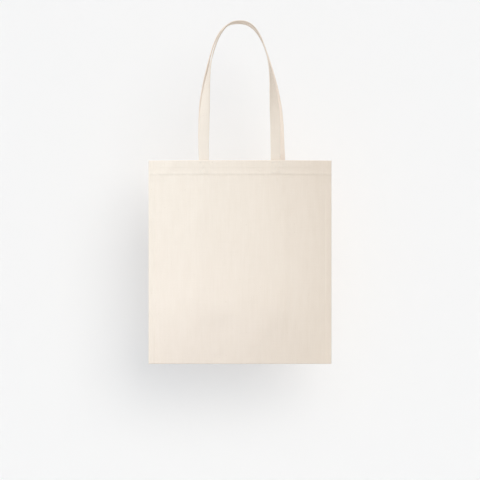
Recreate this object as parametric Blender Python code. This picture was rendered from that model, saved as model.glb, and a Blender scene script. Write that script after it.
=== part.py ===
"""Canvas tote bag, empty, hanging by its two shoulder handles.

The origin is where the bag hangs: the underside of the two handle crowns. +Z is up, -Y is the
front and +X is the wearer's right as seen from the front. Lengths are in metres.

Two canvas panels are seamed at the sides and the bottom, with the seam allowances inside the bag.
Each panel is turned in at the top as a hem, and each handle is one folded strap whose two ends
are sewn to the inside of that hem with a crossed box of stitches.
"""

import math

import bmesh
import bpy
from mathutils import Vector

# Driving dimensions.
BAG_WIDTH = 0.378
BAG_HEIGHT = 0.420
HANDLE_RISE = 0.285  # from the bag's top edge to the underside of a handle's crown
HEM_DEPTH = 0.030
STRAP_WIDTH = 0.021
STRAP_THICKNESS = 0.002
CLOTH = 0.0006
GAP = 0.0003  # kept between pieces that touch
SEAM_ALLOWANCE = 0.0095

# The hang of the empty bag: the panels part in the middle and meet at the seams.
EDGE_HALF_GAP = 0.0009  # leaves room for the seam allowances
PANEL_BULGE = 0.014
FLAT_HALF_WIDTH = 0.090  # each panel is flat over this much of its middle
BELLY_RISE = 0.140  # the panels reach their full distance this far above the bottom seam
HEM_PROUD = 0.0003  # the hem's three layers stand out this much from the single cloth below
HEM_STEP = 0.004  # height of the slope between the two

# Handles: where the legs leave the bag, and how far each crown leans to the side.
FRONT_LEGS = (-0.0745, 0.0735)
BACK_LEGS = (-0.0750, 0.0830)
FRONT_CROWN_LEAN = 0.0
BACK_CROWN_LEAN = -0.008
ARCH_POWER = 2.5  # 2 would be half an ellipse; a stiff strap's legs stay straighter
CROWN_MIDDLE = 0.0115  # distance of each crown's middle from the bag's middle plane
TWIST_START = 0.050  # the strap turns from flat against the panel to flat on the hook
TWIST_END = 0.230
STRAP_END_LENGTH = 0.028
ARCH_STATIONS = 52

# Stitching: thread rows are thin bars just clear of the cloth that they hold.
THREAD = 0.0006
THREAD_PROUD = 0.0003
HEM_STITCH_DROP = 0.028
EDGE_STITCH_INSET = 0.0022
BOX_STITCH_WIDTH = 0.0170
BOX_STITCH_HEIGHT = 0.0215
BOX_STITCH_DROP = 0.0045
OVERLOCK_WIDTH = 0.0012

TOP_Z = -HANDLE_RISE
BOTTOM_Z = TOP_Z - BAG_HEIGHT
HALF_WIDTH = BAG_WIDTH / 2
HEM_THICKNESS = 2 * CLOTH  # the raw edge is folded under, so the hem is two layers
HEM_SIDE_CLEARANCE = 0.0125  # the hem's turned-in part ends short of the seam allowances
HEM_INNER_Y = EDGE_HALF_GAP + PANEL_BULGE  # inner face of the hem's outer layer
STRAP_MIDDLE_Y = HEM_INNER_Y - GAP - HEM_THICKNESS - GAP - STRAP_THICKNESS / 2
HANDLE_PIVOT_Y = HEM_INNER_Y  # the strap folds over the hem about this line

FRONT = -1
BACK = 1

# Where the moving pieces turn, as (place, parent).
PIVOTS = {
    "front_panel_pivot": (Vector((0, 0, BOTTOM_Z)), None),
    "back_panel_pivot": (Vector((0, 0, BOTTOM_Z)), None),
    "front_handle_pivot": (Vector((0, FRONT * HANDLE_PIVOT_Y, TOP_Z)), "front_panel_pivot"),
    "back_handle_pivot": (Vector((0, BACK * HANDLE_PIVOT_Y, TOP_Z)), "back_panel_pivot"),
}

# Base colour, linear, and roughness of each material.
FINISHES = {
    "canvas": ((0.845, 0.775, 0.675, 1.0), 0.92),
    "strap_canvas": ((0.835, 0.765, 0.665, 1.0), 0.90),
    "seam_thread": ((0.870, 0.815, 0.725, 1.0), 0.70),
    "overlock_thread": ((0.880, 0.835, 0.760, 1.0), 0.75),
}


def clear_scene():
    for old in list(bpy.data.objects):
        bpy.data.objects.remove(old, do_unlink=True)


def make_material(name):
    colour, roughness = FINISHES[name]
    material = bpy.data.materials.new(name)
    material.use_nodes = True
    shader = material.node_tree.nodes["Principled BSDF"]
    shader.inputs["Base Color"].default_value = colour
    shader.inputs["Roughness"].default_value = roughness
    shader.inputs["Metallic"].default_value = 0.0
    material.diffuse_color = colour
    return material


def make_pivots():
    empties = {}
    for name, (place, parent) in PIVOTS.items():
        empty = bpy.data.objects.new(name, None)
        empty.empty_display_size = 0.03
        bpy.context.scene.collection.objects.link(empty)
        empty.location = place
        if parent:
            empty.parent = empties[parent]
            empty.location = place - PIVOTS[parent][0]
        empties[name] = empty
    return empties


def add_piece(name, points, faces, finish, pivot=None):
    """One closed solid. Its origin is its pivot, or the hang point when it doesn't move."""
    origin = PIVOTS[pivot][0] if pivot else Vector((0, 0, 0))
    mesh = bpy.data.meshes.new(name)
    mesh.from_pydata([Vector(point) - origin for point in points], [], faces)
    shape = bmesh.new()
    shape.from_mesh(mesh)
    bmesh.ops.recalc_face_normals(shape, faces=shape.faces)
    shape.to_mesh(mesh)
    shape.free()
    mesh.shade_smooth()
    mesh.set_sharp_from_angle(angle=math.radians(35))
    mesh.materials.append(make_material(finish))
    piece = bpy.data.objects.new(name, mesh)
    bpy.context.scene.collection.objects.link(piece)
    if pivot:
        piece.parent = bpy.data.objects[pivot]
    return piece


def steps(start, stop, count):
    return [start + (stop - start) * i / count for i in range(count + 1)]


def cells_solid(place, sizes, filled):
    """Points and faces of a solid made of the filled cells of a grid with these numbers of cells.

    place(i, j, k) gives a grid point, and filled(i, j, k) says whether the cell above it is solid.
    """
    points, faces, index = [], [], {}

    def point(corner):
        if corner not in index:
            index[corner] = len(points)
            points.append(place(*corner))
        return index[corner]

    def solid(cell):
        inside = all(0 <= cell[n] < sizes[n] for n in range(3))
        return inside and filled(*cell)

    for i in range(sizes[0]):
        for j in range(sizes[1]):
            for k in range(sizes[2]):
                if not solid((i, j, k)):
                    continue
                for along in range(3):
                    for far in (0, 1):
                        beside = [i, j, k]
                        beside[along] += 1 if far else -1
                        if solid(tuple(beside)):
                            continue
                        corner = [i, j, k]
                        corner[along] += far
                        u, v = (along + 1) % 3, (along + 2) % 3
                        ring = []
                        for du, dv in ((0, 0), (1, 0), (1, 1), (0, 1)):
                            at = list(corner)
                            at[u] += du
                            at[v] += dv
                            ring.append(point(tuple(at)))
                        faces.append(ring)
    return points, faces


def half_gap(x, z):
    """Distance of a panel's inner face from the bag's middle plane."""
    across = (HALF_WIDTH - abs(x)) / (HALF_WIDTH - FLAT_HALF_WIDTH)
    up = (z - BOTTOM_Z) / BELLY_RISE
    across = math.sin(min(max(across, 0.0), 1.0) * math.pi / 2)
    up = math.sin(min(max(up, 0.0), 1.0) * math.pi / 2)
    below_hem = min(max((TOP_Z - HEM_DEPTH - z) / HEM_STEP, 0.0), 1.0)
    return EDGE_HALF_GAP + (PANEL_BULGE - HEM_PROUD * below_hem) * across * up


def make_panel(name, side, pivot):
    """A canvas panel with its hem: the top is folded in and down, and its raw edge folded under."""
    hem_end = HALF_WIDTH - HEM_SIDE_CLEARANCE
    right = steps(FLAT_HALF_WIDTH, hem_end, 5) + [HALF_WIDTH]
    xs = [-x for x in reversed(right)] + right
    hem_end_z = TOP_Z - HEM_DEPTH
    zs = steps(BOTTOM_Z, BOTTOM_Z + BELLY_RISE, 6)
    zs += [hem_end_z - HEM_STEP, hem_end_z, TOP_Z - CLOTH, TOP_Z]
    layers = [-GAP - HEM_THICKNESS, -GAP, 0.0, CLOTH]
    hem_row = len(zs) - 3
    top_row = len(zs) - 2

    def place(i, layer, j):
        return (xs[i], side * (half_gap(xs[i], zs[j]) + layers[layer]), zs[j])

    def filled(i, layer, j):
        if layer == 2:
            return True
        inside_hem = 0 < i < len(xs) - 2
        if layer == 1:
            return inside_hem and j == top_row
        return inside_hem and j >= hem_row

    points, faces = cells_solid(place, (len(xs) - 1, 3, len(zs) - 1), filled)
    add_piece(name, points, faces, "canvas", pivot)


def make_bar(name, low, high, finish, pivot=None):
    """A straight rectangular bar between two corners."""
    corners = (low, high)
    points, faces = cells_solid(
        lambda i, j, k: (corners[i][0], corners[j][1], corners[k][2]), (1, 1, 1), lambda *cell: True
    )
    add_piece(name, points, faces, finish, pivot)


def make_side_seam(name, side_x):
    """Seam allowance, overlocked raw edge and seam stitching of a side seam, all inside the bag."""
    outer = HALF_WIDTH
    folded = outer - 1.5 * THREAD - GAP
    raw = folded - SEAM_ALLOWANCE
    low_z = BOTTOM_Z
    high_z = TOP_Z
    for label, x_in, x_out, half_depth, finish in (
        ("seam_allowance", raw, folded, CLOTH, "canvas"),
        ("overlock_thread", raw - GAP - OVERLOCK_WIDTH, raw - GAP, CLOTH, "overlock_thread"),
        ("seam_stitching", outer - 1.5 * THREAD, outer, THREAD / 2, "seam_thread"),
    ):
        near, far = sorted((side_x * x_in, side_x * x_out))
        make_bar(
            name + "_" + label, (near, -half_depth, low_z), (far, half_depth, high_z), finish
        )


def make_bottom_seam():
    """The same three pieces along the bottom, between the side seams."""
    folded = BOTTOM_Z + 1.5 * THREAD + GAP
    raw = folded + SEAM_ALLOWANCE
    side_inner = HALF_WIDTH - 1.5 * THREAD - GAP - SEAM_ALLOWANCE - GAP - OVERLOCK_WIDTH - GAP
    for label, low_z, high_z, half_depth, finish in (
        ("seam_allowance", folded, raw, CLOTH, "canvas"),
        ("overlock_thread", raw + GAP, raw + GAP + OVERLOCK_WIDTH, CLOTH, "overlock_thread"),
        ("seam_stitching", BOTTOM_Z, BOTTOM_Z + 1.5 * THREAD, THREAD / 2, "seam_thread"),
    ):
        make_bar(
            "bottom_" + label,
            (-side_inner, -half_depth, low_z),
            (side_inner, half_depth, high_z),
            finish,
        )


def make_hem_stitching(name, side, pivot):
    """The row of stitches that holds the hem, on the outer face of the panel."""
    hem_end = HALF_WIDTH - HEM_SIDE_CLEARANCE
    right = steps(FLAT_HALF_WIDTH, hem_end, 5)
    xs = [-x for x in reversed(right)] + right
    zs = (TOP_Z - HEM_STITCH_DROP - THREAD / 2, TOP_Z - HEM_STITCH_DROP + THREAD / 2)
    layers = (CLOTH + GAP, CLOTH + GAP + THREAD_PROUD)

    def place(i, layer, j):
        return (xs[i], side * (half_gap(xs[i], zs[j]) + layers[layer]), zs[j])

    points, faces = cells_solid(place, (len(xs) - 1, 1, 1), lambda *cell: True)
    add_piece(name, points, faces, "seam_thread", pivot)


def make_box_stitch(name, side, centre_x, pivot):
    """A stitched rectangle with a cross in it: four triangular windows in a thin plate."""
    half_w, half_h = BOX_STITCH_WIDTH / 2, BOX_STITCH_HEIGHT / 2
    centre_z = TOP_Z - BOX_STITCH_DROP - half_h
    corners = ((-half_w, -half_h), (half_w, -half_h), (half_w, half_h), (-half_w, half_h))
    diagonal = math.hypot(half_w, half_h)
    # A window's corners stand off its side by a thread, and off the diagonals by half of one.
    flat = list(corners)
    windows = []
    for n in range(4):
        a, b = Vector(corners[n]), Vector(corners[(n + 1) % 4])
        middle = (a + b) / 2
        inward = -middle.normalized()
        half_side = (b - a).length / 2
        slope = half_side / middle.length
        lean = THREAD / 2 * diagonal / middle.length
        base_half = half_side - THREAD * slope - lean
        along = (b - a).normalized()
        base = middle + inward * THREAD
        apex = middle + inward * (THREAD + base_half / slope)
        first = len(flat)
        flat += [tuple(base - along * base_half), tuple(base + along * base_half), tuple(apex)]
        windows.append((first, first + 1, first + 2))
    plate = []
    for n in range(4):
        left, right, apex = windows[n]
        plate.append((n, (n + 1) % 4, right, left))
        before = windows[n - 1]
        plate.append((n, left, apex, before[2], before[1]))
    plate.append(tuple(window[2] for window in windows))
    near = HEM_INNER_Y + CLOTH + GAP
    points = [(centre_x + x, side * near, centre_z + z) for x, z in flat]
    points += [(centre_x + x, side * (near + THREAD_PROUD), centre_z + z) for x, z in flat]
    count = len(flat)
    faces = list(plate) + [tuple(v + count for v in reversed(face)) for face in plate]
    rims = [tuple(range(4))] + [tuple(reversed(window)) for window in windows]
    for rim in rims:
        for n in range(len(rim)):
            a, b = rim[n], rim[(n + 1) % len(rim)]
            faces.append((a, b, b + count, a + count))
    add_piece(name, points, faces, "seam_thread", pivot)


def ease(t):
    t = min(max(t, 0.0), 1.0)
    return t * t * (3 - 2 * t)


def arch_middle_line(legs, crown_lean, side):
    """Stations along a handle from its right foot to its left: (middle, width way, face way).

    The legs rise from the hem flat against the panel, and the strap twists a quarter turn on each
    side, so that it lies flat over a hook at the crown.
    """
    half_span = (legs[1] - legs[0]) / 2
    middle_x = (legs[1] + legs[0]) / 2
    rise = HANDLE_RISE + STRAP_THICKNESS / 2 - GAP
    foot_z = TOP_Z + GAP

    def at(angle):
        c, s = math.cos(angle), math.sin(angle)
        x = half_span * math.copysign(abs(c) ** (2 / ARCH_POWER), c)
        up = max(s, 0.0) ** (2 / ARCH_POWER)
        y = STRAP_MIDDLE_Y + (CROWN_MIDDLE - STRAP_MIDDLE_Y) * ease(up)
        return Vector((middle_x + x + crown_lean * up, side * y, foot_z + rise * up))

    fine = 2000
    dense = [at(math.pi * n / fine) for n in range(fine + 1)]
    lengths = [0.0]
    for a, b in zip(dense, dense[1:]):
        lengths.append(lengths[-1] + (b - a).length)
    stations, n = [], 0
    for wanted in steps(0.0, lengths[-1], ARCH_STATIONS):
        while n < fine - 1 and lengths[n + 1] < wanted:
            n += 1
        share = (wanted - lengths[n]) / (lengths[n + 1] - lengths[n])
        middle = dense[n].lerp(dense[n + 1], min(max(share, 0.0), 1.0))
        along = (dense[min(n + 1, fine)] - dense[n]).normalized()
        from_foot = min(wanted, lengths[-1] - wanted)
        turn = math.pi / 2 * ease((from_foot - TWIST_START) / (TWIST_END - TWIST_START))
        if from_foot == 0.0 or n >= fine - 1:
            along = Vector((0, 0, 1 if wanted == 0.0 else -1))
        outward = Vector((along.z, 0, -along.x)).normalized()
        face_way = Vector((0, side, 0)) * math.cos(turn) + outward * math.sin(turn)
        width_way = along.cross(face_way).normalized()
        face_way = width_way.cross(along).normalized()
        stations.append((middle, width_way, face_way))
    return stations


def make_ribbon(name, stations, acrosses, low, high, finish, pivot):
    """A flat strip along a handle, with points at these distances across from the strap's middle.

    Its two faces are `low` and `high` from the strap's middle line, the way its outer face looks.
    """
    heights = (low, high)

    def place(n, w, f):
        middle, width_way, face_way = stations[n]
        return middle + width_way * acrosses[w] + face_way * heights[f]

    sizes = (len(stations) - 1, len(acrosses) - 1, 1)
    points, faces = cells_solid(place, sizes, lambda *cell: True)
    add_piece(name, points, faces, finish, pivot)


def make_handle(label, side, legs, crown_lean):
    """One strap: its loop, its edge stitching, its two sewn ends and their crossed boxes."""
    stations = arch_middle_line(legs, crown_lean, side)
    loop_pivot = label + "_handle_pivot"
    panel_pivot = label + "_panel_pivot"
    half = STRAP_THICKNESS / 2
    row = STRAP_WIDTH / 2 - EDGE_STITCH_INSET
    edges = (-STRAP_WIDTH / 2, -row, row, STRAP_WIDTH / 2)
    make_ribbon(label + "_handle", stations, edges, -half, half, "strap_canvas", loop_pivot)
    # The front handle's width way points outwards at both feet, and the back one's inwards.
    for edge, across in (("outer", -side * row), ("inner", side * row)):
        make_ribbon(
            label + "_handle_" + edge + "_edge_stitching",
            stations,
            (across - THREAD / 2, across + THREAD / 2),
            half + GAP,
            half + GAP + THREAD_PROUD,
            "seam_thread",
            loop_pivot,
        )
    for where, x in zip(("left", "right"), legs):
        near, far = sorted((side * (STRAP_MIDDLE_Y - half), side * (STRAP_MIDDLE_Y + half)))
        make_bar(
            label + "_handle_" + where + "_end",
            (x - STRAP_WIDTH / 2, near, TOP_Z - STRAP_END_LENGTH),
            (x + STRAP_WIDTH / 2, far, TOP_Z),
            "strap_canvas",
            panel_pivot,
        )
        make_box_stitch(label + "_" + where + "_box_stitch", side, x, panel_pivot)


def make_bag():
    clear_scene()
    make_pivots()
    for label, side in (("front", FRONT), ("back", BACK)):
        make_panel(label + "_panel", side, label + "_panel_pivot")
        make_hem_stitching(label + "_hem_stitching", side, label + "_panel_pivot")
    make_side_seam("left", -1)
    make_side_seam("right", 1)
    make_bottom_seam()
    make_handle("front", FRONT, FRONT_LEGS, FRONT_CROWN_LEAN)
    make_handle("back", BACK, BACK_LEGS, BACK_CROWN_LEAN)


make_bag()
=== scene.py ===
import math

import bpy
import numpy as np
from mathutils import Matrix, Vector


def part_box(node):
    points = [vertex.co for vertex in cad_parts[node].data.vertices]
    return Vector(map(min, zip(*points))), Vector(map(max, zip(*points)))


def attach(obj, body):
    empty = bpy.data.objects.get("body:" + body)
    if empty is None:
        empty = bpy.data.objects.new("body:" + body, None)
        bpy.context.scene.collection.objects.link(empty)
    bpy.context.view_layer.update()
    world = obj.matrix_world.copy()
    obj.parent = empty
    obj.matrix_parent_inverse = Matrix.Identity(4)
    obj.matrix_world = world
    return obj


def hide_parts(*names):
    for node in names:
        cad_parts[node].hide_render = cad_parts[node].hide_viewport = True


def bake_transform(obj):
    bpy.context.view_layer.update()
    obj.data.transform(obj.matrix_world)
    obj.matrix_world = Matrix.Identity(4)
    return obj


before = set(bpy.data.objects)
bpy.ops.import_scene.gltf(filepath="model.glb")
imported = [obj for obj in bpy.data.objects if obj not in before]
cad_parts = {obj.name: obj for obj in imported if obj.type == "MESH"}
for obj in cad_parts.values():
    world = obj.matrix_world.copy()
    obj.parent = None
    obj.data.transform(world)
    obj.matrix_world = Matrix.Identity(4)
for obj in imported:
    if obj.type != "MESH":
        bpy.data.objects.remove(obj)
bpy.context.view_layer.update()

# An empty canvas tote bag that hangs by its two handles. Lengths are in metres.

# Sides of the bag: the front faces -Y.
SIDES = {"front": -1, "back": 1}

# Cloth and thread.
CLOTH = 0.0006
STRAP_THICKNESS = 0.0020
THREAD_RADIUS = 0.00021
STITCH_PITCH = 0.0030
STITCH_LENGTH = 0.0025
STITCH_PROUD = 0.00014  # the middle of a stitch lies this far above the cloth
LAYER_STEP = 0.0018  # a layer's edge shows through as a slope this wide
HEM_UNDERFOLD = 0.015  # how far up the raw edge is folded under, inside the hem

# The bag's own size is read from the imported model.
LOW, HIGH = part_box("front_panel")
HALF_WIDTH = HIGH.x
TOP_Z = HIGH.z
BOTTOM_Z = LOW.z
MIDDLE_Z = (TOP_Z + BOTTOM_Z) / 2
HEM_STITCH_Z = sum(corner.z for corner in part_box("front_hem_stitching")) / 2
HEM_END_Z = HEM_STITCH_Z - 0.002
HEM_INNER_Y = -LOW.y - CLOTH
ALLOWANCE_INNER_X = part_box("right_seam_allowance")[0].x

# How the panels part: flat in the middle, together at the seams.
EDGE_HALF_GAP = 0.0009
PANEL_BULGE = HEM_INNER_Y - EDGE_HALF_GAP
FLAT_HALF_WIDTH = 0.090
BELLY_RISE = 0.140
EDGE_ROUND = 0.0017  # the cloth turns into its seams on this radius
EDGE_HALF_SLIT = 0.00004  # half of what stays open between the panels at a seam
EDGE_CLOTH = 0.00006  # the cloth's thickness where it is pinched into the seam


def middle(node):
    low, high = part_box(node)
    return (low + high) / 2


LEGS = {
    side: [middle(side + "_handle_" + where + "_end").x for where in ("left", "right")]
    for side in SIDES
}
STRAP_END_LOW, STRAP_END_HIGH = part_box("front_handle_left_end")
STRAP_WIDTH = STRAP_END_HIGH.x - STRAP_END_LOW.x
STRAP_END_LENGTH = TOP_Z - STRAP_END_LOW.z
STRAP_MIDDLE_Y = abs(middle("front_handle_left_end").y)


# -------- small numeric helpers

def ease(t):
    t = np.clip(t, 0.0, 1.0)
    return t * t * (3 - 2 * t)


def band(value, low, high, soft):
    """1 between low and high, falling softly to 0 over `soft` on both sides."""
    return ease((value - low) / soft + 0.5) * ease((high - value) / soft + 0.5)


def hump(value, width):
    return np.exp(-((value / width) ** 2))


def wander(value, wavelength, seed):
    """Smooth noise along a line, about -1 to 1: a few sines of unrelated lengths and phases."""
    local = np.random.default_rng(seed)
    shares = (1.0, 0.61, 0.37)
    total = 0.0
    for share in shares:
        phase = local.uniform(0, 2 * math.pi)
        total = total + np.sin(2 * math.pi * value / (wavelength * share) + phase) * share
    return total / sum(shares)


def unit(vectors):
    return vectors / np.linalg.norm(vectors, axis=-1, keepdims=True)


def at(x, y, z):
    """Points from coordinates, or triangles from corners; any may be one number for all of them."""
    return np.stack(np.broadcast_arrays(x, y, z), -1)


def run_along(points):
    """Distance along a line of points, from its first."""
    return np.concatenate([[0], np.cumsum(np.linalg.norm(np.diff(points, axis=0), axis=1))])


def spaced(start, stop, pitch):
    count = max(int(math.ceil((stop - start) / pitch)), 1)
    return np.linspace(start, stop, count + 1)


def joined(*runs):
    """Runs of increasing values as one, each shared end kept once."""
    return np.concatenate([runs[0]] + [run[1:] for run in runs[1:]])


def add_object(name, data):
    made = bpy.data.objects.new(name, data)
    bpy.context.scene.collection.objects.link(made)
    return made


def vertices_of(mesh):
    points = np.zeros(len(mesh.vertices) * 3)
    mesh.vertices.foreach_get("co", points)
    return points.reshape(-1, 3)


# -------- how the empty bag hangs

def half_gap(x, z):
    """Inner face of a panel's cloth, measured from the bag's middle plane."""
    across = np.clip((HALF_WIDTH - np.abs(x)) / (HALF_WIDTH - FLAT_HALF_WIDTH), 0, 1)
    up = np.clip((z - BOTTOM_Z) / BELLY_RISE, 0, 1)
    return EDGE_HALF_GAP + PANEL_BULGE * np.sin(across * math.pi / 2) * np.sin(up * math.pi / 2)


def plain_surface(side, x, z):
    """The panel's surface without thickness or detail, closed along its side and bottom seams."""
    return at(x, SIDES[side] * (half_gap(x, z) - EDGE_HALF_GAP), z)


HANG_COLUMNS, HANG_ROWS = 49, 55
HANG_FRAMES = 40
HANG_CAP = 0.0011  # no point of the cloth moves further than this as it settles
HANG_SHARE = np.array([0.2, 1.0, 0.2])  # of the simulated movement along X, Y and Z
SIDE_FADE, BOTTOM_FADE = 0.075, 0.150  # the movement dies out this near those seams
HANG_CLOTH = {
    "quality": 6, "mass": 0.05,
    "tension_stiffness": 60, "compression_stiffness": 60, "shear_stiffness": 12,
    "bending_stiffness": 15, "bending_stiffness_max": 60, "vertex_group_bending": "hem",
    "tension_damping": 12, "compression_damping": 12, "bending_damping": 2, "air_damping": 3,
    "vertex_group_mass": "pinned", "use_pressure": True, "uniform_pressure_force": 0.06,
}


def hang_grid():
    xs = np.linspace(-HALF_WIDTH, HALF_WIDTH, HANG_COLUMNS)
    zs = np.linspace(BOTTOM_Z, TOP_Z, HANG_ROWS)
    return np.meshgrid(xs, zs)


def hang_sheet(start):
    """Both panels' grids as one coarse cloth joined at its seams, and each grid point's vertex in it."""
    points, faces, pinned, hem = [], [], [], []
    shared, index = {}, {}
    for side, way in SIDES.items():
        for j in range(HANG_ROWS):
            for i in range(HANG_COLUMNS):
                seam = i in (0, HANG_COLUMNS - 1) or j == 0
                key = (i, j, "seam" if seam else side)
                if key not in shared:
                    shared[key] = len(points)
                    x, y, z = start[side][j, i]
                    points.append((x, y, z))
                    near_leg = min(abs(x - leg) for leg in LEGS[side])
                    if z > TOP_Z - STRAP_END_LENGTH and near_leg < STRAP_WIDTH / 2:
                        pinned.append(shared[key])
                    if z > HEM_END_Z:
                        hem.append(shared[key])
                index[i, j, side] = shared[key]
        for j in range(HANG_ROWS - 1):
            for i in range(HANG_COLUMNS - 1):
                ring = [index[i + di, j + dj, side] for di, dj in ((0, 0), (1, 0), (1, 1), (0, 1))]
                faces.append(ring if way < 0 else ring[::-1])
    mesh = bpy.data.meshes.new("hang")
    mesh.from_pydata(points, [], faces)
    sheet = add_object("hang", mesh)
    sheet.vertex_groups.new(name="pinned").add(pinned, 1.0, "REPLACE")
    sheet.vertex_groups.new(name="hem").add(hem, 1.0, "REPLACE")
    return sheet, index


def hung(sheet):
    """Where a cloth simulation leaves the sheet's vertices; the sheet is removed."""
    sim = sheet.modifiers.new("Cloth", "CLOTH")
    for name, value in HANG_CLOTH.items():
        setattr(sim.settings, name, value)
    sim.collision_settings.use_collision = False
    sim.point_cache.frame_start = 1
    sim.point_cache.frame_end = HANG_FRAMES
    scene = bpy.context.scene
    for number in range(1, HANG_FRAMES + 1):
        scene.frame_set(number)
    end = vertices_of(sheet.evaluated_get(bpy.context.evaluated_depsgraph_get()).data)
    scene.frame_set(1)
    bpy.data.objects.remove(sheet)
    return end


def evened(field, rounds):
    """Each point made the average of its four neighbours, this many times over."""
    for _ in range(rounds):
        wide = np.pad(field, ((1, 1), (1, 1), (0, 0)), "edge")
        field = (wide[:-2, 1:-1] + wide[2:, 1:-1] + wide[1:-1, :-2] + wide[1:-1, 2:]) / 4
    return field


def broad_swells(move):
    """Pressed canvas keeps only the broad swells: neither sharp crumples nor a shift of the whole side."""
    move = evened(move, 8)
    move = (move - evened(move, 90)) * HANG_SHARE
    far = np.linalg.norm(move, axis=2, keepdims=True)
    move = move * HANG_CAP * np.tanh(far / HANG_CAP) / np.maximum(far, 1e-9)
    # The side and bottom seams stay where the model has them.
    x, z = hang_grid()
    free = ease((HALF_WIDTH - np.abs(x)) / SIDE_FADE) * ease((z - BOTTOM_Z) / BOTTOM_FADE)
    return move * free[..., None]


def settle():
    """How far each panel's grid points move as the empty bag hangs by its four sewn strap ends."""
    x, z = hang_grid()
    shut = plain_surface("back", x, z)
    start = {side: shut * (1, way * 0.9, 1) for side, way in SIDES.items()}
    sheet, index = hang_sheet(start)
    end = hung(sheet)
    still = {}
    for side in SIDES:
        rows = [[end[index[i, j, side]] for i in range(HANG_COLUMNS)] for j in range(HANG_ROWS)]
        still[side] = broad_swells(np.array(rows) - start[side])
    return still


SETTLED = settle()


def settled(side, x, z):
    """The simulated movement at x, z, read from the grid between its points."""
    grid = SETTLED[side]
    i = np.clip((x + HALF_WIDTH) / (2 * HALF_WIDTH) * (HANG_COLUMNS - 1), 0, HANG_COLUMNS - 1.001)
    j = np.clip((z - BOTTOM_Z) / (TOP_Z - BOTTOM_Z) * (HANG_ROWS - 1), 0, HANG_ROWS - 1.001)
    i0, j0 = i.astype(int), j.astype(int)
    fi, fj = (i - i0)[..., None], (j - j0)[..., None]
    near = grid[j0, i0] * (1 - fi) + grid[j0, i0 + 1] * fi
    far = grid[j0 + 1, i0] * (1 - fi) + grid[j0 + 1, i0 + 1] * fi
    return near * (1 - fj) + far * fj


# -------- the surface of a sewn panel

BOX_LOW, BOX_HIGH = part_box("front_left_box_stitch")
BOX_HALF_WIDTH = (BOX_HIGH.x - BOX_LOW.x) / 2 - THREAD_RADIUS
BOX_TOP_Z = BOX_HIGH.z - THREAD_RADIUS
BOX_BOTTOM_Z = BOX_LOW.z + THREAD_RADIUS
BOX_STITCH_PITCH = 0.0027
BOX_STITCH_LENGTH = 0.0023


def box_lines(centre_x):
    """The crossed box at a strap end, as straight lines of stitches: ((x, z), (x, z))."""
    left, right = centre_x - BOX_HALF_WIDTH, centre_x + BOX_HALF_WIDTH
    corners = [(left, BOX_BOTTOM_Z), (right, BOX_BOTTOM_Z), (right, BOX_TOP_Z), (left, BOX_TOP_Z)]
    lines = [(corners[n], corners[(n + 1) % 4]) for n in range(4)]
    return lines + [(corners[0], corners[2]), (corners[1], corners[3])]


def distance_to_line(x, z, line):
    (ax, az), (bx, bz) = line
    dx, dz = bx - ax, bz - az
    t = np.clip(((x - ax) * dx + (z - az) * dz) / (dx * dx + dz * dz), 0, 1)
    return np.hypot(x - ax - t * dx, z - az - t * dz)


def rounding(distance, radius):
    """0 on the very edge to 1 a radius in, on a quarter circle: cloth that turns into its seam."""
    t = np.clip(distance / radius, 0, 1)
    return np.sqrt(np.clip(1 - (1 - t) ** 2, 0, 1))


def edge_share(x, z, radius):
    return rounding(HALF_WIDTH - np.abs(x), radius) * rounding(z - BOTTOM_Z, 0.5 * radius)


def seam_relief(x, z, seed):
    """The seam allowances lie behind the cloth along its sides and bottom, and the seam puckers it."""
    ridge_in = HALF_WIDTH - ALLOWANCE_INNER_X + 0.0012
    out = np.zeros_like(x)
    sides = (HALF_WIDTH - np.abs(x), z, 1.0, 0)
    bottom = (z - BOTTOM_Z, x, 0.22, 1)
    for distance, along, share, turn in (sides, bottom):
        out += 0.00032 * share * band(distance, 0.0010, ridge_in, 0.0030)
        out -= 0.00016 * share * hump(distance - ridge_in - 0.0016, 0.0018)
        out += 0.00010 * share * hump(distance - 0.0034, 0.0016)
        pucker = wander(along + 0.05 * x * turn, 0.0105, seed + turn) * hump(distance - 0.003, 0.006)
        out += 0.00013 * pucker
        out += 0.00030 * wander(along, 0.047, seed + 3 + turn) * hump(distance - 0.006, 0.014)
    return out


def hem_relief(x, z, seed):
    """The hem stands out, most in its upper half, with a firm ridge at its row of stitches."""
    row = z - HEM_STITCH_Z
    stitch = np.cos(2 * math.pi * x / STITCH_PITCH)
    upper_half = ease((HEM_UNDERFOLD - TOP_Z + z) / LAYER_STEP + 0.5)
    out = 0.00022 * ease((z - HEM_END_Z) / LAYER_STEP + 0.5)
    out += 0.00024 * upper_half * (0.8 + 0.3 * wander(x, 0.083, seed + 6))
    out += 0.00034 * hump(row - 0.0004, 0.0026) * (1 + 0.25 * wander(x, 0.037, seed + 5))
    out -= 0.00016 * hump(row, 0.0006) * (0.75 + 0.25 * stitch)
    out += 0.00020 * wander(x + 0.3 * row, 0.0125, seed + 7) * hump(row + 0.001, 0.0060)
    out += 0.00020 * wander(x, 0.060, seed + 9) * hump(row, 0.0160)
    return out


def strap_end_relief(side, x, z, seed):
    """Strap ends behind the hem, with their crossed boxes of stitches and the creases they pull."""
    out = np.zeros_like(x)
    above_end = ease((z - TOP_Z + STRAP_END_LENGTH) / 0.0022 + 0.5)
    for leg in LEGS[side]:
        across = x - leg
        out += 0.00060 * band(across, -STRAP_WIDTH / 2, STRAP_WIDTH / 2, 0.0022) * above_end
        for line in box_lines(leg):
            out -= 0.00034 * hump(distance_to_line(x, z, line), 0.0008)
        drag = hump(across, 0.022) * hump(z - HEM_END_Z + 0.004, 0.020)
        out += 0.00030 * wander(across + 0.4 * (z - HEM_END_Z), 0.0190, seed + 13) * drag
    return out


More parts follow.
